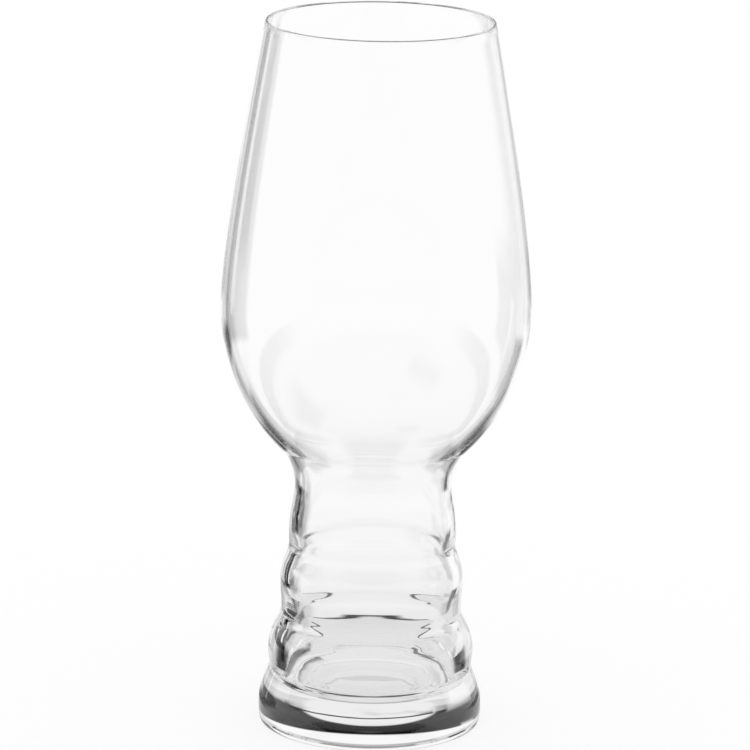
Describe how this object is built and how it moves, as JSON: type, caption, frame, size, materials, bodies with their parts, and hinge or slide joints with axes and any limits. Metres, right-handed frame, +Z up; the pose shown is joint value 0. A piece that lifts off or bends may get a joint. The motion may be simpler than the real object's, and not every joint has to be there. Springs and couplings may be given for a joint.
{
  "type": "beer glass",
  "caption": "Tall clear beer glass with a thin bowl that narrows to the rim, a hollow stem with round ribs and a thick solid foot; holds a drink and stands on a flat ring.",
  "frame": {"origin": "centre of the flat ring under the foot, at table height", "axes": "+Z up along the glass's axis of revolution, from the foot to the rim; X and Y are alike"},
  "size_m": [0.082, 0.082, 0.19],
  "materials": {
    "bowl_glass": "clear thin blown glass, fire-polished",
    "stem_glass": "clear mould-blown glass, ribbed and smooth",
    "foot_glass": "clear thick pressed glass, polished"
  },
  "bodies": {
    "root": {"bowl": "bowl_glass", "ribbed_stem": "stem_glass", "foot": "foot_glass"}
  },
  "joints": []
}
